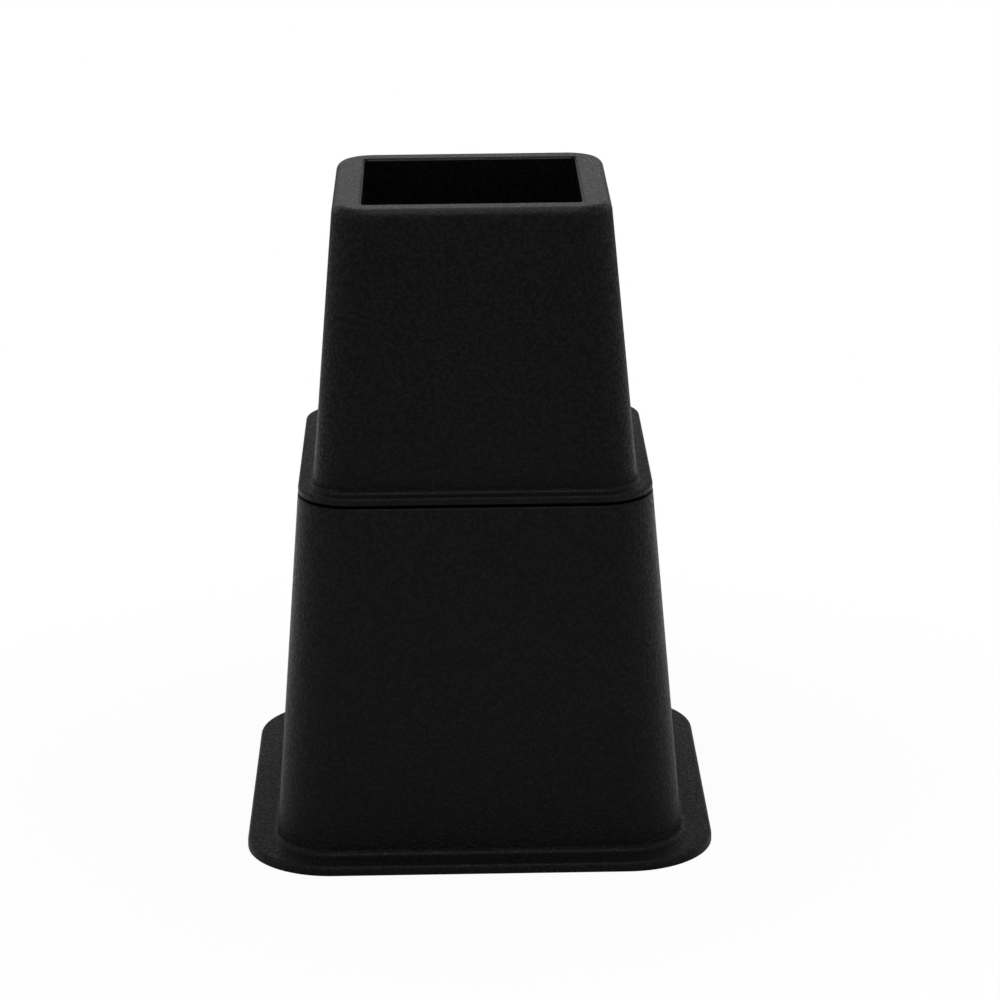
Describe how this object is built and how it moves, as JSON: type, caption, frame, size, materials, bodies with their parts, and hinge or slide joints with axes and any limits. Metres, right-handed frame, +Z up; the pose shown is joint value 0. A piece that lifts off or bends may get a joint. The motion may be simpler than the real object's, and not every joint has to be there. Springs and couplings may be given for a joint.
{
  "type": "bed riser",
  "caption": "Stacking furniture riser: square, tapered, hollow moulded stages with foot flanges and a square recess in the top that holds a bed leg.",
  "frame": {"origin": "centre of the base flange's underside, on the floor", "axes": "+Z up through the centre of the leg recess; X and Y square to the sides"},
  "size_m": [0.165, 0.165, 0.2286],
  "materials": {
    "black_plastic": "black polypropylene with a fine moulded grain"
  },
  "bodies": {
    "root": {"base_stage": "black_plastic", "upper_stage": "black_plastic"}
  },
  "joints": []
}
